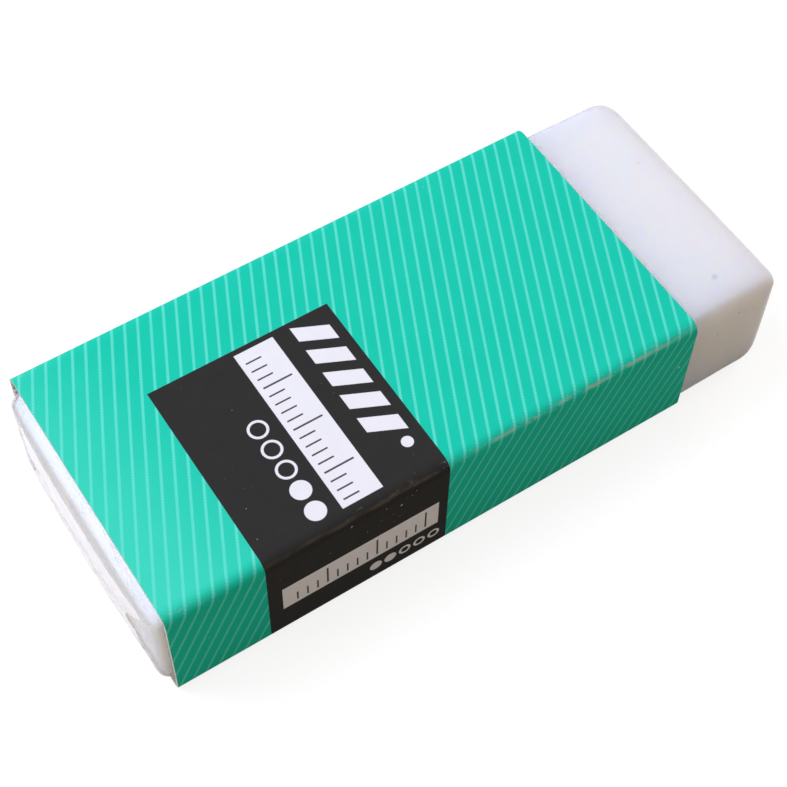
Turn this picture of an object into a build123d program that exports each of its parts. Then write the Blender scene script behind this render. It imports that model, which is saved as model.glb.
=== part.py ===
"""Block eraser: a white vinyl block in a clear film overwrap, held in a folded card sleeve that slides along it.

Frame: +X runs along the block towards its bare working end, +Y towards the sleeve's glued side, +Z up.
The origin is the middle of the footprint on the surface that the eraser lies on. All sizes are in millimetres.
"""

import os

from build123d import *

# Vinyl block
BLOCK_LENGTH = 59.0
BLOCK_WIDTH = 24.0
BLOCK_HEIGHT = 11.0
LONG_EDGE_RADIUS = 0.8  # the four edges that run along the block
END_EDGE_RADIUS = 2.7  # the top and bottom edges of each end face
CORNER_RADIUS = 2.1  # the four upright edges

# Clear film overwrap
FILM_THICKNESS = 0.04
FILM_GAP = 0.02  # air between the film and the block
SEAM_LAP = 5.0  # the film's sealed lap, along the middle of the underside
END_FLAP_OVERLAP = 1.4  # how far the upper folded end flap covers the lower one

# Card sleeve
CARD_THICKNESS = 0.3
SLEEVE_CLEARANCE = 0.12  # between the film and the card, so that the sleeve slides
SLEEVE_LENGTH = 48.5
SLEEVE_SETBACK = 0.6  # the block shows this much past the sleeve at its covered end
LAP_EDGE_RISE = 0.5  # the outer panel's cut edge ends this far above the lower fold
LAP_TUCK = 0.4  # the glue flap ends this far below the upper fold

# What follows from the sizes above
FILM_REACH = FILM_GAP + FILM_THICKNESS  # from the block's face to the film's outer face
CAVITY_MARGIN = FILM_REACH + SLEEVE_CLEARANCE  # from the block's face to the card
CAVITY_WIDTH = BLOCK_WIDTH + 2 * CAVITY_MARGIN
CAVITY_HEIGHT = BLOCK_HEIGHT + 2 * CAVITY_MARGIN
FOLD_INNER_RADIUS = LONG_EDGE_RADIUS + CAVITY_MARGIN
FOLD_OUTER_RADIUS = FOLD_INNER_RADIUS + CARD_THICKNESS
SLEEVE_HEIGHT = CAVITY_HEIGHT + 2 * CARD_THICKNESS
BLOCK_CENTRE_Y = -CARD_THICKNESS / 2  # the doubled card on one side moves the block off centre
BLOCK_CENTRE_Z = SLEEVE_HEIGHT / 2
SLEEVE_START_X = -BLOCK_LENGTH / 2 + SLEEVE_SETBACK
END_FLAT_WIDTH = BLOCK_WIDTH - 2 * CORNER_RADIUS
END_FLAT_HEIGHT = BLOCK_HEIGHT - 2 * END_EDGE_RADIUS


def rounded_bar(grow):
    """The block's own form with every face moved out by grow, centred on the block's centre."""
    length, width, height = (size + 2 * grow for size in (BLOCK_LENGTH, BLOCK_WIDTH, BLOCK_HEIGHT))
    section = extrude(
        Plane.YZ * RectangleRounded(width, height, LONG_EDGE_RADIUS + grow), length / 2, both=True
    )
    side = extrude(
        Plane.XZ * RectangleRounded(length, height, END_EDGE_RADIUS + grow), width / 2, both=True
    )
    plan = extrude(
        Plane.XY * RectangleRounded(length, width, CORNER_RADIUS + grow), height / 2, both=True
    )
    return Pos(0, BLOCK_CENTRE_Y, BLOCK_CENTRE_Z) * (section & side & plan)


def end_flap(end, layer, up):
    """One trapezium of film folded over an end face: end is +1 or -1 along X, up is +1 or -1 for its root."""
    reach = (END_FLAT_HEIGHT + END_FLAP_OVERLAP) / 2
    root_z = up * END_FLAT_HEIGHT / 2
    tip_z = root_z - up * reach
    half_root = END_FLAT_WIDTH / 2
    half_tip = half_root - reach
    outline = Polygon(
        (-half_root, root_z), (half_root, root_z), (half_tip, tip_z), (-half_tip, tip_z), align=None
    )
    near = BLOCK_LENGTH / 2 + FILM_GAP  # the flap reaches into the shell, so the two are one solid
    far = BLOCK_LENGTH / 2 + FILM_REACH + layer * FILM_THICKNESS
    flap = Pos(near, 0, 0) * extrude(Plane.YZ * outline, far - near, dir=(1, 0, 0))
    if end < 0:
        flap = mirror(flap, Plane.YZ)
    return Pos(0, BLOCK_CENTRE_Y, BLOCK_CENTRE_Z) * flap


def eraser_block():
    """The vinyl block: rounded on every edge, with the ends rounded more than the long edges."""
    return rounded_bar(0)


def film_wrap():
    """The overwrap: one taut layer on every face, a sealed lap underneath and two folded flaps on each end."""
    film = rounded_bar(FILM_REACH) - rounded_bar(FILM_GAP)
    under_z = BLOCK_CENTRE_Z - BLOCK_HEIGHT / 2 - FILM_REACH
    lap = Box(BLOCK_LENGTH - 2 * END_EDGE_RADIUS, SEAM_LAP, 2 * FILM_THICKNESS)
    film += Pos(0, BLOCK_CENTRE_Y, under_z) * lap
    for end in (-1, 1):
        film += end_flap(end, 1, -1)
        film += end_flap(end, 2, 1)
    return film


def sleeve_ring(extra):
    """A closed loop of card round the block, with its far side moved out by extra along +Y."""
    inner = Rectangle(CAVITY_WIDTH + extra, CAVITY_HEIGHT)
    outer = Rectangle(CAVITY_WIDTH + extra + 2 * CARD_THICKNESS, SLEEVE_HEIGHT)
    inner = fillet(inner.vertices(), FOLD_INNER_RADIUS)
    outer = fillet(outer.vertices(), FOLD_OUTER_RADIUS)
    return Pos(BLOCK_CENTRE_Y + extra / 2, BLOCK_CENTRE_Z) * (outer - inner)


def card_sleeve():
    """One strip of card folded round the block: the glue flap lies inside the outer panel on the +Y side."""
    far_half = Pos(CAVITY_WIDTH, 0) * Rectangle(2 * CAVITY_WIDTH, 4 * SLEEVE_HEIGHT)
    panel_edge_z = FOLD_OUTER_RADIUS + LAP_EDGE_RISE
    flap_edge_z = SLEEVE_HEIGHT - FOLD_OUTER_RADIUS - LAP_TUCK
    below_panel = far_half & Pos(0, panel_edge_z - SLEEVE_HEIGHT) * Rectangle(
        8 * CAVITY_WIDTH, 2 * SLEEVE_HEIGHT
    )
    below_flap = far_half & Pos(0, flap_edge_z - SLEEVE_HEIGHT) * Rectangle(
        8 * CAVITY_WIDTH, 2 * SLEEVE_HEIGHT
    )
    outer_turn = sleeve_ring(CARD_THICKNESS) - below_panel
    glue_flap = sleeve_ring(0) & below_flap
    section = outer_turn + glue_flap
    return Pos(SLEEVE_START_X, 0, 0) * extrude(Plane.YZ * section, SLEEVE_LENGTH)


PARTS = {
    "eraser_block": eraser_block,
    "film_wrap": film_wrap,
    "card_sleeve": card_sleeve,
}

if __name__ == "__main__":
    os.makedirs("parts", exist_ok=True)
    for name, make in PARTS.items():
        export_step(make(), f"parts/{name}.step")
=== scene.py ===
"""A vinyl block eraser in clear film and a printed card sleeve, on a pale table under soft light."""

import math

import bmesh
import bpy
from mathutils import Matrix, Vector, noise


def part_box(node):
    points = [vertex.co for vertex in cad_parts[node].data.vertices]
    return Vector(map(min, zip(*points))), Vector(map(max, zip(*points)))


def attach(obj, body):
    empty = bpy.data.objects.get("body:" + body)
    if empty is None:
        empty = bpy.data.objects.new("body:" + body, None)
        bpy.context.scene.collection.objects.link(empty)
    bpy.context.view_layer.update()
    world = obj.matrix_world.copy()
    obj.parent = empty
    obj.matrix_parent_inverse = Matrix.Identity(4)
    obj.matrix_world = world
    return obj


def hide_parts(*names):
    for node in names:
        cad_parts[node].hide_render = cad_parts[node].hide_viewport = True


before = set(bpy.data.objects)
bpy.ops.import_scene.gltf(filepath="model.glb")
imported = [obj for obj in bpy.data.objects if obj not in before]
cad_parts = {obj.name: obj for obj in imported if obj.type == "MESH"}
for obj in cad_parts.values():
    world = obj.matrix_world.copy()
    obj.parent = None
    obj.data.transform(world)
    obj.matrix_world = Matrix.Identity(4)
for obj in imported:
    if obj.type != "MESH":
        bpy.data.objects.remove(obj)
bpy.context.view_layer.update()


# ---- The vinyl block ------------------------------------------------------------------------------------
# One moulded bar of soft white plasticised vinyl, cut to length and tumbled, so every edge is rounded and the
# ends more than the sides. Its faces are slightly crowned where they stand bare, and it shows small pits.
MM = 0.001
BLOCK_LOW, BLOCK_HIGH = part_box("eraser_block")
SLEEVE_LOW, SLEEVE_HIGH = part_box("card_sleeve")
BLOCK_MIDDLE = (BLOCK_LOW + BLOCK_HIGH) / 2
BLOCK_HALF = (BLOCK_HIGH - BLOCK_LOW) / 2
LONG_EDGE = 0.8 * MM
END_ROUND_X = 2.7 * MM
END_ROUND_Y = 2.1 * MM
COVERED_SHARE = 0.4  # the covered end is unworn, with this share of the bare end's rounding in plan
CROWN_DROP = 0.16 * MM
CROWN_START = 17 * MM
CROWN_FULL = 25 * MM


def cut_rings(bm, axis, places):
    """Cuts the mesh across one axis at each place."""
    normal = Vector([float(k == axis) for k in range(3)])
    for place in places:
        everything = bm.verts[:] + bm.edges[:] + bm.faces[:]
        bmesh.ops.bisect_plane(bm, geom=everything, dist=1e-7, plane_co=normal * place, plane_no=normal)


def evenly(low, high, step):
    """Places from low to high, about one step apart, without the two ends."""
    count = max(2, round((high - low) / step))
    return [low + (high - low) * k / count for k in range(1, count)]


def end_shrink(x, half_length):
    """How far a section is drawn in at x, from 0 on the straight bar to 1 at its end face."""
    into = max(0.0, abs(x) - (half_length - END_ROUND_X)) / END_ROUND_X
    return 1 - math.sqrt(max(0.0, 1 - min(into, 1) ** 2))


def rounded_bar(grow, step):
    """A bar with the block's rounded edges, grown by grow on every side, with its middle at the origin."""
    half = BLOCK_HALF + Vector((grow, grow, grow))
    bm = bmesh.new()
    bmesh.ops.create_cube(bm, size=2)
    bmesh.ops.scale(bm, vec=half, verts=bm.verts)
    long_edges = [e for e in bm.edges if abs(e.verts[0].co.x - e.verts[1].co.x) > half.x]
    bmesh.ops.bevel(
        bm, geom=long_edges, offset=LONG_EDGE + grow, offset_type="OFFSET", segments=5,
        profile=0.5, affect="EDGES", material=-1,
    )
    turns = [math.radians(90 * k / 9) for k in range(1, 9)]
    rings = [half.x - END_ROUND_X * (1 - math.sin(turn)) for turn in turns] + [half.x - END_ROUND_X]
    bare = evenly(SLEEVE_HIGH.x - 2 * MM - BLOCK_MIDDLE.x, half.x - END_ROUND_X, step)
    hidden = evenly(-half.x + END_ROUND_X, SLEEVE_HIGH.x - 2 * MM - BLOCK_MIDDLE.x, 4 * step)
    cut_rings(bm, 0, rings + [-r for r in rings] + bare + hidden)
    flat_y, flat_z = half.y - LONG_EDGE - grow, half.z - LONG_EDGE - grow
    cut_rings(bm, 1, evenly(-flat_y, flat_y, step))
    cut_rings(bm, 2, evenly(-flat_z, flat_z, step))
    for v in bm.verts:
        drawn_in = end_shrink(v.co.x, half.x)
        worn_round = 1.0 if v.co.x > 0 else COVERED_SHARE
        v.co.y *= 1 - drawn_in * END_ROUND_Y * worn_round / half.y
        v.co.z *= 1 - drawn_in * END_ROUND_X * (1 + worn_round) / 2 / half.z
        across = abs(v.co.y) / half.y
        up = abs(v.co.z) / half.z
        bare_part = min(1.0, max(0.0, (abs(v.co.x) - CROWN_START) / (CROWN_FULL - CROWN_START)))
        v.co.z *= 1 - CROWN_DROP / half.z * across**4 * bare_part * up
        v.co.y *= 1 - 0.6 * CROWN_DROP / half.y * up**4 * bare_part * across
    return bm


def finished(bm, name, *materials):
    """The mesh as an object at the origin, with smooth faces and its materials."""
    mesh = bpy.data.meshes.new(name)
    bm.to_mesh(mesh)
    bm.free()
    for material in materials:
        mesh.materials.append(material)
    piece = bpy.data.objects.new(name, mesh)
    bpy.context.scene.collection.objects.link(piece)
    mesh.shade_smooth()
    return piece


class Tone:
    """One value in a material, so that what it is worked out from is written as plain arithmetic."""

    def __init__(self, tree, socket=None):
        self.tree = tree
        self.socket = socket

    def node(self, kind, settings=None, inputs=None, out=0):
        """Adds any node: its settings first, then its inputs by name or number, and gives one output."""
        made = self.tree.nodes.new(kind)
        for key, value in (settings or {}).items():
            setattr(made, key, value)
        for key, value in (inputs or {}).items():
            if isinstance(value, Tone):
                self.tree.links.new(value.socket, made.inputs[key])
            else:
                made.inputs[key].default_value = value
        return Tone(self.tree, made.outputs[out] if made.outputs else None)

    def maths(self, operation, *others):
        """This value through a Math node, with any others after it."""
        return self.node("ShaderNodeMath", {"operation": operation}, dict(enumerate((self, *others))))

    def __add__(self, other):
        return self.maths("ADD", other)

    def __sub__(self, other):
        if isinstance(other, tuple):
            return self.node("ShaderNodeVectorMath", {"operation": "SUBTRACT"}, {0: self, 1: other})
        return self.maths("SUBTRACT", other)

    def __mul__(self, other):
        return self.maths("MULTIPLY", other)

    def __truediv__(self, other):
        return self.maths("DIVIDE", other)

    def __neg__(self):
        return self * -1

    def __rsub__(self, other):
        return -self + other

    def __abs__(self):
        return self.maths("ABSOLUTE")

    def larger(self, other):
        return self.maths("MAXIMUM", other)

    __radd__ = __add__
    __rmul__ = __mul__

    def ramp(self, low, high):
        """0 below low, 1 above high, and smooth between them."""
        settings = {"interpolation_type": "SMOOTHSTEP"}
        return self.node("ShaderNodeMapRange", settings, {"Value": self, "From Min": low, "From Max": high})

    def within(self, low, high, soft):
        """1 between low and high, 0 outside, with an edge about as wide as soft."""
        middle, half = (low + high) / 2, (high - low) / 2
        return 1 - abs(self - middle).ramp(half - soft / 2, half + soft / 2)

    def noise(self, scale, detail=2.0, roughness=0.5, stretch=(1, 1, 1), offset=(0, 0, 0)):
        """Even noise from 0 to 1, read from a position, with scale in features a metre."""
        place = self.node("ShaderNodeMapping", {}, {"Vector": self, "Scale": stretch, "Location": offset})
        settings = {"noise_dimensions": "3D"}
        values = {"Vector": place, "Scale": scale, "Detail": detail, "Roughness": roughness}
        return self.node("ShaderNodeTexNoise", settings, values, 0)

    def tint(self, low, high):
        """A colour between low and high, by this value."""
        return self.node("ShaderNodeMix", {"data_type": "RGBA"}, {0: self, 6: low, 7: high}, 2)

    def parts(self):
        """The three parts of a position."""
        return [self.node("ShaderNodeSeparateXYZ", {}, {0: self}, k) for k in range(3)]

    def bump(self, distance, strength=1.0, normal=None):
        """A surface direction from this height, which 1 makes as high as distance."""
        values = {"Height": self, "Distance": distance, "Strength": strength}
        if normal:
            values["Normal"] = normal
        return self.node("ShaderNodeBump", {}, values)


def new_material(name):
    """An empty material and the start of its arithmetic."""
    material = bpy.data.materials.new(name)
    material.use_nodes = True
    material.node_tree.nodes.clear()
    return material, Tone(material.node_tree)


def show(start, shader):
    """Puts a shader on the material's output."""
    start.node("ShaderNodeOutputMaterial", {}, {"Surface": shader})


def vinyl_material():
    """Satin white vinyl with a faint mould grain, a soft depth of light, pits with painted shade, and
    handling marks.
    """
    material, start = new_material("white_vinyl")
    place = start.node("ShaderNodeTexCoord", {}, {}, "Object")
    grain = place.noise(9000, 3.0, 0.6)
    slow = place.noise(260, 2.0)
    smudge = place.noise(700, 4.0, 0.65, (0.5, 1, 1)).ramp(0.60, 0.82)
    x, y, z = place.parts()
    height = grain * 0.10 + slow * 0.6
    painted_pit_shade = 0.0
    # Each pit: middle (x, y, z) and radius in millimetres, and depth as a share of the deepest.
    for middle, radius, depth in (
        ((24.1, -9.1, 11.45), 0.42, 1.0),
        ((24.6, -12.1, 9.6), 0.26, 0.9),
        ((22.7, -12.1, 7.9), 0.30, 0.8),
        ((21.3, -12.1, 3.4), 0.22, 0.6),
        ((26.3, 4.0, 11.4), 0.22, 0.5),
    ):
        centre = tuple(value * MM for value in middle)
        away = start.node("ShaderNodeVectorMath", {"operation": "DISTANCE"}, {0: place, 1: centre}, 1)
        pit = (1 - away.ramp(0, radius * MM)) * depth
        height = height - pit
        painted_pit_shade = pit + painted_pit_shade
    # A faint upright drag line on the near side of the bare end.
    line = (x / MM - (24.3 + (z / MM - 5.5) * 0.03)).within(-0.10, 0.10, 0.14)
    line = line * (z / MM).within(3.2, 7.4, 1.2)
    height = height - line * 0.25
    colour = (smudge * 0.5).tint((0.970, 0.955, 0.975, 1), (0.90, 0.88, 0.90, 1))
    # Painted shade: the pits are darkened in colour, standing in for the shade inside them.
    colour = (painted_pit_shade * 0.6).tint(colour, (0.55, 0.52, 0.56, 1))
    surface = start.node(
        "ShaderNodeBsdfPrincipled",
        {"subsurface_method": "RANDOM_WALK"},
        {
            "Base Color": colour,
            "Roughness": 0.40 + place.noise(1500, 3.0) * 0.14,
            "Subsurface Weight": 0.95,
            "Subsurface Radius": (1.0, 0.68, 0.40),
            "Subsurface Scale": 8.0 * MM,
            "Specular IOR Level": 0.22,
            "Normal": height.bump(0.05 * MM),
        },
    )
    show(start, surface)
    return material


block_mesh = rounded_bar(0.0, 0.8 * MM)
bmesh.ops.translate(block_mesh, vec=BLOCK_MIDDLE, verts=block_mesh.verts)
vinyl_block = finished(block_mesh, "vinyl_block", vinyl_material())
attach(vinyl_block, "block")
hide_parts("eraser_block")


# ---- The clear film -------------------------------------------------------------------------------------
# A thin clear polypropylene overwrap, pulled tight round the block and heat sealed in one lap underneath. At
# each end the sides are tucked in, and the lower and upper flaps are folded over them, where it creases.
FILM_GAP = 0.03 * MM
EAR_ROUND = 0.6 * MM
FLAP_ROOT = 10.2 * MM
FLAP_REACH = 4.0 * MM
FLAP_RISE = 0.55 * MM  # each flap starts this far up the rounded edge
FLAP_SLANT = 0.95  # how far a flap's sides draw in for each millimetre of its reach
FLAP_STEP = 0.16 * MM
LAP_HALF = 2.5 * MM


def bow(end, y):
    """How far the film stands off an end face at y: loose at the covered end and tight at the bare one."""
    slack = 0.34 * MM if end < 0 else 0.02 * MM
    return slack * max(0.0, 1 - (y / BLOCK_HALF.y) ** 4)


def crease(place, size, seed):
    """Sharp-ridged crumpling between 0 and 1 at a place, with ridges about one size apart."""
    point = Vector(place) / size + Vector((seed, seed * 1.7, -seed))
    broad = abs(noise.noise(point))
    fine = abs(noise.noise(point * 2.3 + Vector((5.0, 1.0, 3.0))))
    return min(1.0, 1.6 * broad + 0.7 * fine)


def end_flap(bm, end, up, lift, seed):
    """One folded flap of film on an end face: end and up are +1 or -1, and lift is how far it stands off."""
    half_z = BLOCK_HALF.z - END_ROUND_X
    columns = round(2 * FLAP_ROOT / FLAP_STEP)
    rows = round(FLAP_REACH / FLAP_STEP)
    made = bmesh.ops.create_grid(bm, x_segments=columns, y_segments=rows, size=1.0)["verts"]
    for v in made:
        side = v.co.x
        out = (v.co.y + 1) / 2
        reach = out * FLAP_REACH * (1 + 0.06 * noise.noise(Vector((side * 3, seed, 0))))
        y = side * (FLAP_ROOT - FLAP_SLANT * reach)
        z = up * (half_z + FLAP_RISE - reach)
        stand = lift * (0.25 + 0.75 * math.sin(math.pi * min(1.0, 0.15 + 0.8 * out)))
        stand *= 0.35 + 0.65 * (1 - abs(side) ** 3)
        folds = crease((y * 0.30, z, 0), 1.5 * MM, seed) - 0.4
        ripples = crease((y * 0.5, z * 1.8, 0), 0.8 * MM, seed + 4) - 0.4
        looseness = 1.0 if end < 0 else 0.3
        stand += (0.15 * folds + 0.07 * ripples) * MM * min(1.0, 3 * out) * looseness
        root_round = 0.16 * MM * max(0.0, 1 - 4 * out)
        x = end * (BLOCK_HALF.x + FILM_GAP + bow(end, y) + max(0.03 * MM, 0.08 * MM + stand - root_round))
        v.co = Vector((x, y, z))
    if end * up < 0:
        bmesh.ops.reverse_faces(bm, faces=list({f for v in made for f in v.link_faces}))


def film_material():
    """Clear glossy film: what is under it shows through, and its creases and folds are painted grey as shade.
    """
    material, start = new_material("clear_film")
    place = start.node("ShaderNodeTexCoord", {}, {}, "Object")
    at_end = (-place.parts()[0] / MM).ramp(27.0, 28.4)
    fine = place.noise(1600, 3.0, 0.6, (0.4, 1, 1))
    ripple = fine.bump(0.04 * MM, 0.5)
    clear = start.node("ShaderNodeBsdfTransparent", {}, {"Color": (0.985, 0.985, 0.99, 1)})
    shine = start.node(
        "ShaderNodeBsdfPrincipled",
        {},
        {
            "Base Color": (0.85, 0.85, 0.9, 1),
            "Roughness": 0.12 + fine * 0.10,
            "Specular IOR Level": 0.9,
            "Normal": ripple,
        },
    )
    edge_on = start.node("ShaderNodeFresnel", {}, {"IOR": 1.33, "Normal": ripple})
    film = start.node("ShaderNodeMixShader", {}, {0: edge_on * 0.9, 1: clear, 2: shine})
    # Long creases run across the end, with short flecks between them where the film is puckered.
    long_ridge = 1 - abs(place.noise(520, 3.0, 0.62, (1, 0.16, 1)) - 0.5).ramp(0.0, 0.030)
    long_ridge = long_ridge * place.noise(300, 2.0, 0.5, (1, 0.6, 1), (0.7, 0, 0)).ramp(0.42, 0.58)
    fleck = 1 - abs(place.noise(1500, 2.0, 0.55, (1, 0.35, 1), (0, 0.4, 0)) - 0.5).ramp(0.0, 0.05)
    fleck = fleck * place.noise(1100, 2.0, 0.5, (1, 0.5, 1), (0, 0, 0.2)).ramp(0.54, 0.62)
    # The folded edges of the flaps: two slanting sides on each, and the upper flap's tip across the face.
    centred = [part / MM for part in (place - tuple(BLOCK_MIDDLE)).parts()]
    far_x, side_y, up_z = (abs(part) for part in centred)
    top_of_flap = (BLOCK_HALF.z - END_ROUND_X + FLAP_RISE) / MM
    slant = 1 - abs(side_y + (top_of_flap - up_z) * FLAP_SLANT - FLAP_ROOT / MM).ramp(0.02, 0.13)
    tip = 1 - abs(centred[2] - (top_of_flap - FLAP_REACH / MM)).ramp(0.02, 0.12)
    tip = tip * (1 - side_y.ramp(6.2, 6.5))
    folded_edges = slant.larger(tip) * far_x.ramp(29.45, 29.50) * 0.7
    puckers = long_ridge.larger(fleck * 0.4) * at_end * (1 - side_y.ramp(9.8, 11.4))
    creases = puckers.larger(folded_edges)
    # Painted shade: a grey surface mixed in along the creases and flap edges, standing in for the dark
    # refraction and reflection there.
    painted_crease_shade = start.node(
        "ShaderNodeBsdfPrincipled",
        {},
        {"Base Color": (0.55, 0.55, 0.58, 1), "Roughness": 0.35, "Specular IOR Level": 0.4, "Normal": ripple},
    )
    show(start, start.node("ShaderNodeMixShader", {}, {0: creases * 0.34, 1: film, 2: painted_crease_shade}))
    return material


film_mesh = rounded_bar(FILM_GAP, 0.7 * MM)
for vertex in film_mesh.verts:
    past_round = max(0.0, (abs(vertex.co.x) - (BLOCK_HALF.x - END_ROUND_X)) / END_ROUND_X)
    if past_round > 0:
        place = vertex.co.copy()
        film_end = math.copysign(1, place.x)
        if film_end < 0:
            # The tucked sides stand out in small ears past the block's rounded corners.
            shrink = end_shrink(place.x, BLOCK_HALF.x + FILM_GAP)
            ear = min(1.0, max(0.0, abs(place.y) / BLOCK_HALF.y - 0.55) / 0.30) ** 2
            drawn_in = shrink * END_ROUND_Y * COVERED_SHARE
            drawn_down = shrink * END_ROUND_X * (1 + COVERED_SHARE) / 2
            vertex.co.y *= (BLOCK_HALF.y - shrink * EAR_ROUND) / (BLOCK_HALF.y - drawn_in)
            vertex.co.z *= (BLOCK_HALF.z - drawn_down * (1 - 0.3 * ear)) / (BLOCK_HALF.z - drawn_down)
        crumple = crease((place.x, place.y * 0.4, place.z), 1.2 * MM, 2.0)
        loose = (0.07 if film_end < 0 else 0.02) * MM * crumple + bow(film_end, place.y)
        vertex.co.x += film_end * loose * past_round**3
for film_end in (-1, 1):
    bulge = 0.42 * MM if film_end < 0 else 0.06 * MM
    end_flap(film_mesh, film_end, -1, 0.5 * bulge, 11.0 + film_end)
    end_flap(film_mesh, film_end, 1, bulge, 23.0 + film_end)
sealed_lap = bmesh.ops.create_grid(film_mesh, x_segments=60, y_segments=8, size=1.0)["verts"]
for vertex in sealed_lap:
    lift = 0.03 * MM + 0.02 * MM * max(0.0, vertex.co.y) * abs(noise.noise(Vector((vertex.co.x * 20, 0, 3))))
    x, y = vertex.co.x * (BLOCK_HALF.x - END_ROUND_X), vertex.co.y * LAP_HALF
    vertex.co = Vector((x, y, -BLOCK_HALF.z - FILM_GAP - lift))
bmesh.ops.reverse_faces(film_mesh, faces=list({f for v in sealed_lap for f in v.link_faces}))
bmesh.ops.translate(film_mesh, vec=BLOCK_MIDDLE, verts=film_mesh.verts)
film_overwrap = finished(film_mesh, "film_overwrap", film_material())
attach(film_overwrap, "block")
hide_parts("film_wrap")


# ---- The card sleeve ------------------------------------------------------------------------------------
# One strip of coated board, printed green with fine pale slanting lines and a black panel, varnished, creased
# and folded round the block, and glued where its two ends lap on the far narrow side.
SLEEVE_LENGTH = SLEEVE_HIGH.x - SLEEVE_LOW.x
BOARD = 0.3 * MM
FOLD_RADIUS = 0.85 * MM
PLY_GAP = 0.02 * MM
FLAP_TOP = SLEEVE_HIGH.z - 1.68 * MM
PANEL_EDGE = 1.78 * MM
mid_front = SLEEVE_LOW.y + BOARD / 2
mid_back = SLEEVE_HIGH.y - BOARD / 2
mid_flap = mid_back - BOARD
mid_low = SLEEVE_LOW.z + BOARD / 2
mid_top = SLEEVE_HIGH.z - BOARD / 2
# The flat runs between the four folds, in the order in which the strip goes round.
RUNS = (
    FLAP_TOP - mid_low - FOLD_RADIUS,
    mid_flap - mid_front - 2 * FOLD_RADIUS,
    mid_top - mid_low - 2 * FOLD_RADIUS,
    mid_back - mid_front - 2 * FOLD_RADIUS,
    mid_top - FOLD_RADIUS - PANEL_EDGE,
)
FOLD_ARC = FOLD_RADIUS * math.pi / 2
STRIP = sum(RUNS) + 4 * FOLD_ARC
# How far along the strip the middle of each fold lies, and how much shorter each fold is than a sharp corner.
FOLDS = [sum(RUNS[: k + 1]) + (k + 0.5) * FOLD_ARC for k in range(4)]
NEAR_FOLD = FOLDS[2]
ROUNDING = 0.33 * MM


def folded(along):
    """Where a point this far along the strip lies once it is folded, and which way its printed side faces."""
    y, z, heading = mid_flap, FLAP_TOP, -math.pi / 2
    for k, run in enumerate(RUNS):
        step = min(along, run) if k < 4 else along
        y += step * math.cos(heading)
        z += step * math.sin(heading)
        along -= step
        if along <= 0 or k == 4:
            break
        turn = min(along, FOLD_ARC) / FOLD_RADIUS
        y += FOLD_RADIUS * (math.sin(heading) - math.sin(heading - turn))
        z += FOLD_RADIUS * (math.cos(heading - turn) - math.cos(heading))
        heading -= turn
        along -= turn * FOLD_RADIUS
        if along <= 1e-9:
            break
    return y, z, heading


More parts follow.
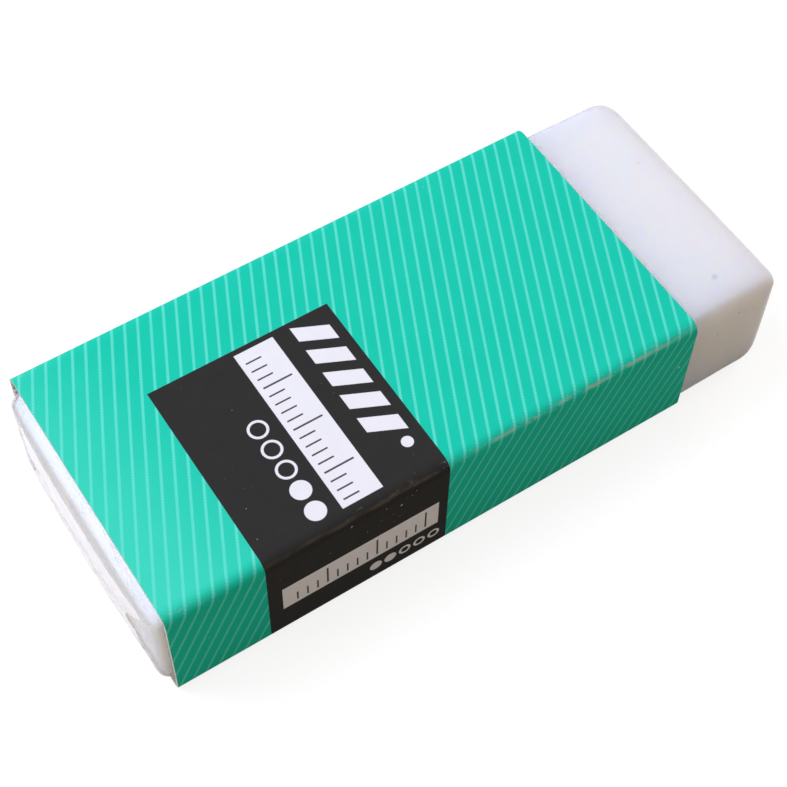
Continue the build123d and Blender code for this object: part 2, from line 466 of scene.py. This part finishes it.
def print_material():
    """Offset print on coated board: green with pale lines, a black panel with white marks, worn folds, and
    painted sheen.
    """
    material, start = new_material("printed_board")
    uv = start.node("ShaderNodeTexCoord", {}, {}, "UV")
    place = start.node("ShaderNodeTexCoord", {}, {}, "Object")
    u, v, _ = uv.parts()
    # Distance along the sleeve, and across the strip from the near top edge, in millimetres.
    x = u * (SLEEVE_LENGTH / MM)
    from_fold = v * (STRIP / MM) - NEAR_FOLD / MM
    y = from_fold + ROUNDING / MM
    lean = math.radians(25.4)
    pitch = 1.0425
    across = x * math.cos(lean) - y * math.sin(lean)
    down = x * math.sin(lean) + y * math.cos(lean)
    phase = across / pitch - 0.428
    line = 1 - abs((phase + 0.5).maths("FRACT") - 0.5).ramp(0.055, 0.15)
    beads = 0.86 + (down * (math.tau / 0.26)).maths("SINE") * 0.14
    patchy = 0.8 + place.noise(420, 3.0) * 0.35
    line = line * beads * patchy
    green = place.noise(320, 2.0).tint((0.010, 0.525, 0.376, 1), (0.015, 0.565, 0.410, 1))
    # Painted sheen: the top's green is made paler towards the covered end, standing in for the lamp's glare
    # there.
    painted_top_sheen = (1 - (x + y * 0.35 + place.noise(200, 1.0) * 3).ramp(1.0, 19.0)) * y.ramp(0.0, 1.5)
    green = (painted_top_sheen * 0.6).tint(green, (0.075, 0.690, 0.535, 1))
    pale = (line * 0.95).tint(green, (0.125, 0.71, 0.59, 1))

    def box(x_low, x_high, y_low, y_high):
        return x.within(x_low, x_high, 0.05) * y.within(y_low, y_high, 0.05)

    panel = box(8.25, 24.55, -28.25, 17.86)
    marks = box(15.65, 19.2, 1.16, 17.36)
    ticks = abs((y / 0.9).maths("FRACT") - 0.5).ramp(0.40, 0.43)
    long_ticks = abs((y / 4.5).maths("FRACT") - 0.5).ramp(0.476, 0.486)
    scale = (ticks * box(16.1, 17.5, 1.7, 16.9)).larger(long_ticks * box(16.1, 18.7, 1.7, 16.9))
    marks = marks - scale * 0.93
    slant = y + (x - 22.2) * 0.47 + 0.35
    bars = abs((slant / 2.5).maths("FRACT") - 0.5).within(-0.30, 0.30, 0.03)
    marks = marks + bars * x.within(20.75, 23.65, 0.05) * slant.within(5.0, 17.5, 0.05)

    def dot(x_mid, y_mid, radius, hollow):
        away = ((x - x_mid) * (x - x_mid) + (y - y_mid) * (y - y_mid)).maths("SQRT")
        disc = 1 - away.ramp(radius - 0.03, radius + 0.03)
        return disc - (1 - away.ramp(radius - 0.25, radius - 0.19)) if hollow else disc

    marks = marks + dot(22.9, 3.5, 0.5, False)
    for k in range(5):
        marks = marks + dot(13.85, 2.1 + 2.1 * k, 0.86, k > 1)
    # The narrow side carries the same marks again, smaller, along the sleeve.
    side_box = box(9.5, 23.7, -7.40, -4.20)
    side_ticks = abs((x / 0.9).maths("FRACT") - 0.5).ramp(0.40, 0.43) * box(10.1, 23.1, -7.02, -5.82)
    side_long = abs((x / 4.5).maths("FRACT") - 0.5).ramp(0.476, 0.486) * box(10.1, 23.1, -7.02, -4.72)
    marks = marks + side_box - side_ticks.larger(side_long) * 0.93
    for k in range(5):
        marks = marks + dot(17.9 + 1.36 * k, -8.84, 0.56, k > 1)
    marks = marks.maths("MINIMUM", 1.0) * panel
    black = place.noise(900, 3.0).tint((0.027, 0.027, 0.0275, 1), (0.034, 0.033, 0.0325, 1))
    print_colour = panel.tint(pale, black)
    white = place.noise(800, 3.0).tint((0.73, 0.735, 0.79, 1), (0.79, 0.795, 0.85, 1))
    print_colour = marks.tint(print_colour, white)
    # Ink rubs off the folds and cut ends first, grey-white where the card frays; the brown on the black is
    # painted sheen.
    fold = 0.0
    for middle_of_fold in FOLDS:
        away = abs(from_fold - (middle_of_fold - NEAR_FOLD) / MM)
        fold = (1 - away.ramp(0.05, 0.55)) + fold
    rub = place.noise(2600, 5.0, 0.72, (0.35, 1, 1)).ramp(0.56, 0.72)
    where = place.noise(130, 2.0, 0.5, (1, 0.4, 0.4), (0.31, 0, 0)).ramp(0.42, 0.62)
    ends = (1 - x.ramp(0.0, 0.15)).larger(x.ramp(48.3, 48.5))
    nicks = place.noise(3300, 4.0, 0.7).ramp(0.55, 0.66)
    wander = (place.noise(500, 3.0) - 0.5) * 0.4
    thread = 1 - abs(from_fold + 0.1 + wander).ramp(0.03, 0.22)
    frayed = thread * x.within(28.0, 46.0, 8.0) * place.noise(1500, 4.0, 0.7, (0.5, 1, 1)).ramp(0.42, 0.58)
    # Painted sheen: a brown band along the near fold on the black panel, standing in for light glancing off
    # the fold.
    painted_fold_sheen = thread * panel * place.noise(700, 3.0, 0.6, (0.5, 1, 1)).ramp(0.38, 0.62)
    worn = (fold * rub * where * 0.6).larger(ends * nicks * 0.5).larger(frayed * 0.6)
    near_fold = x.within(14.0, 24.6, 3.0) * from_fold.within(-4.6, 0.4, 1.5)
    scuffs = place.noise(4200, 2.0, 0.5, (1, 0.6, 0.6)).ramp(0.73, 0.76) * near_fold
    specks = place.noise(5200, 2.0, 0.5).ramp(0.755, 0.775) * place.noise(240, 2.0).ramp(0.45, 0.6)
    crumbs = dot(47.4, -4.26, 0.13, False).larger(dot(20.15, -1.35, 0.10, False))
    specks = specks.larger(scuffs).larger(crumbs)
    print_colour = (painted_fold_sheen * 0.45).tint(print_colour, (0.13, 0.10, 0.075, 1))
    print_colour = worn.tint(print_colour, (0.50, 0.50, 0.43, 1))
    print_colour = (specks * 0.6).tint(print_colour, (0.66, 0.67, 0.66, 1))
    paper = place.noise(5200, 4.0, 0.6)
    height = paper * 0.30 + place.noise(700, 2.0) * 0.5 - worn * 0.8 + line * 0.10 - panel * 0.15
    surface = start.node(
        "ShaderNodeBsdfPrincipled",
        {},
        {
            "Base Color": print_colour,
            "Roughness": 0.36 + paper * 0.10 + worn * 0.25 - panel * 0.04,
            "Specular IOR Level": 0.003,
            "Normal": height.bump(0.012 * MM),
        },
    )
    show(start, surface)
    return material


def board_material(name, light, dark, roughness):
    """Bare grey-white board, for the inside of the sleeve and its cut edges."""
    material, start = new_material(name)
    place = start.node("ShaderNodeTexCoord", {}, {}, "Object")
    fibres = place.noise(4200, 5.0, 0.7, (0.3, 1, 1))
    colour = fibres.tint(light, dark)
    surface = start.node(
        "ShaderNodeBsdfPrincipled",
        {},
        {
            "Base Color": colour,
            "Roughness": roughness + fibres * 0.1,
            "Specular IOR Level": 0.2,
            "Normal": fibres.bump(0.03 * MM),
        },
    )
    show(start, surface)
    return material


strip = bmesh.new()
bmesh.ops.create_grid(strip, x_segments=64, y_segments=330, size=0.5)
print_map = strip.loops.layers.uv.new("print")
for face in strip.faces:
    for corner in face.loops:
        corner[print_map].uv = (corner.vert.co.x + 0.5, corner.vert.co.y + 0.5)
for vertex in strip.verts:
    along = (vertex.co.y + 0.5) * STRIP
    x = SLEEVE_LOW.x + (vertex.co.x + 0.5) * SLEEVE_LENGTH
    y, z, _ = folded(along)
    vertex.co = Vector((x, y, z))
bmesh.ops.recalc_face_normals(strip, faces=strip.faces)
printed_sleeve = finished(
    strip,
    "printed_sleeve",
    print_material(),
    board_material("board_inside", (0.62, 0.61, 0.58, 1), (0.50, 0.49, 0.46, 1), 0.75),
    board_material("board_cut_edge", (0.66, 0.64, 0.60, 1), (0.40, 0.40, 0.36, 1), 0.8),
)
wall = printed_sleeve.modifiers.new("wall", "SOLIDIFY")
wall.thickness = BOARD - PLY_GAP
wall.offset = 0.0
wall.material_offset = 1
wall.material_offset_rim = 2
bpy.context.view_layer.update()
solid = bpy.data.meshes.new_from_object(printed_sleeve.evaluated_get(bpy.context.evaluated_depsgraph_get()))
printed_sleeve.modifiers.clear()
printed_sleeve.data = solid
solid.set_sharp_from_angle(angle=math.radians(50))
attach(printed_sleeve, "sleeve")
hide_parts("card_sleeve")


# ---- The table, the light and the camera ----------------------------------------------------------------
# A pale table top in a plain bright room: a large soft cool lamp behind and to the left, a weaker one on each
# end, and a warm low fill, with the camera above the near left corner.
def seen_directly(start):
    """1 for what is seen, itself or through or in a shiny surface, and 0 for the light that it gives off."""
    camera_ray, glossy_ray, through_ray = (
        start.node("ShaderNodeLightPath", {}, {}, kind)
        for kind in ("Is Camera Ray", "Is Glossy Ray", "Is Transmission Ray")
    )
    return camera_ray.larger(glossy_ray).larger(through_ray)


def table_material():
    """A pale table that reads as white where it is lit and keeps the soft shadow under the object."""
    material, start = new_material("pale_table")
    seen = seen_directly(start)
    bounce = start.node("ShaderNodeBsdfDiffuse", {}, {"Color": (0.46, 0.39, 0.31, 1)})
    lit = start.node("ShaderNodeBsdfDiffuse", {}, {"Color": (0.22, 0.22, 0.22, 1)})
    glow = start.node("ShaderNodeEmission", {}, {"Color": (1, 1, 1, 1), "Strength": 0.84})
    seen_as = start.node("ShaderNodeAddShader", {}, {0: lit, 1: glow})
    show(start, start.node("ShaderNodeMixShader", {}, {0: seen, 1: bounce, 2: seen_as}))
    return material


table = bmesh.new()
bmesh.ops.create_grid(table, x_segments=2, y_segments=2, size=3.0)
bmesh.ops.translate(table, vec=(0, 0, SLEEVE_LOW.z), verts=table.verts)
table_top = finished(table, "table_top", table_material())

world = bpy.data.worlds.new("room")
bpy.context.scene.world = world
world.use_nodes = True
world.node_tree.nodes.clear()
room = Tone(world.node_tree)
shown = room.node("ShaderNodeBackground", {}, {"Color": (1, 1, 1, 1), "Strength": 1.0})
fill = room.node("ShaderNodeBackground", {}, {"Color": (1.0, 0.89, 0.74, 1), "Strength": 0.40})
backdrop = room.node("ShaderNodeMixShader", {}, {0: seen_directly(room), 1: fill, 2: shown})
room.node("ShaderNodeOutputWorld", {}, {"Surface": backdrop})


def soft_lamp(name, place, size, power, colour):
    """A square soft lamp that faces the object."""
    light = bpy.data.lights.new(name, "AREA")
    light.size = size
    light.energy = power
    light.color = colour
    lamp = bpy.data.objects.new(name, light)
    bpy.context.scene.collection.objects.link(lamp)
    lamp.location = place
    lamp.rotation_euler = (-Vector(place)).to_track_quat("-Z", "Y").to_euler()
    lamp.visible_camera = False
    return lamp


soft_lamp("key_lamp", (-0.26, 0.26, 0.50), 0.34, 2.95, (0.81, 0.845, 1.0))
soft_lamp("bare_end_lamp", (0.45, 0.12, 0.26), 0.30, 1.1, (0.86, 0.87, 1.0))
soft_lamp("end_lamp", (-0.50, -0.02, 0.22), 0.22, 0.9, (0.95, 0.97, 1.0))

camera = bpy.data.cameras.new("view")
camera.lens = 77.27
camera.sensor_width = 36
viewer = bpy.data.objects.new("viewer", camera)
bpy.context.scene.collection.objects.link(viewer)
viewer.location = (-0.04513, -0.06424, 0.12134)
viewer.rotation_euler = (math.radians(33.308), math.radians(-0.932), math.radians(-32.968))
bpy.context.scene.camera = viewer
bpy.context.scene.view_settings.view_transform = "Standard"
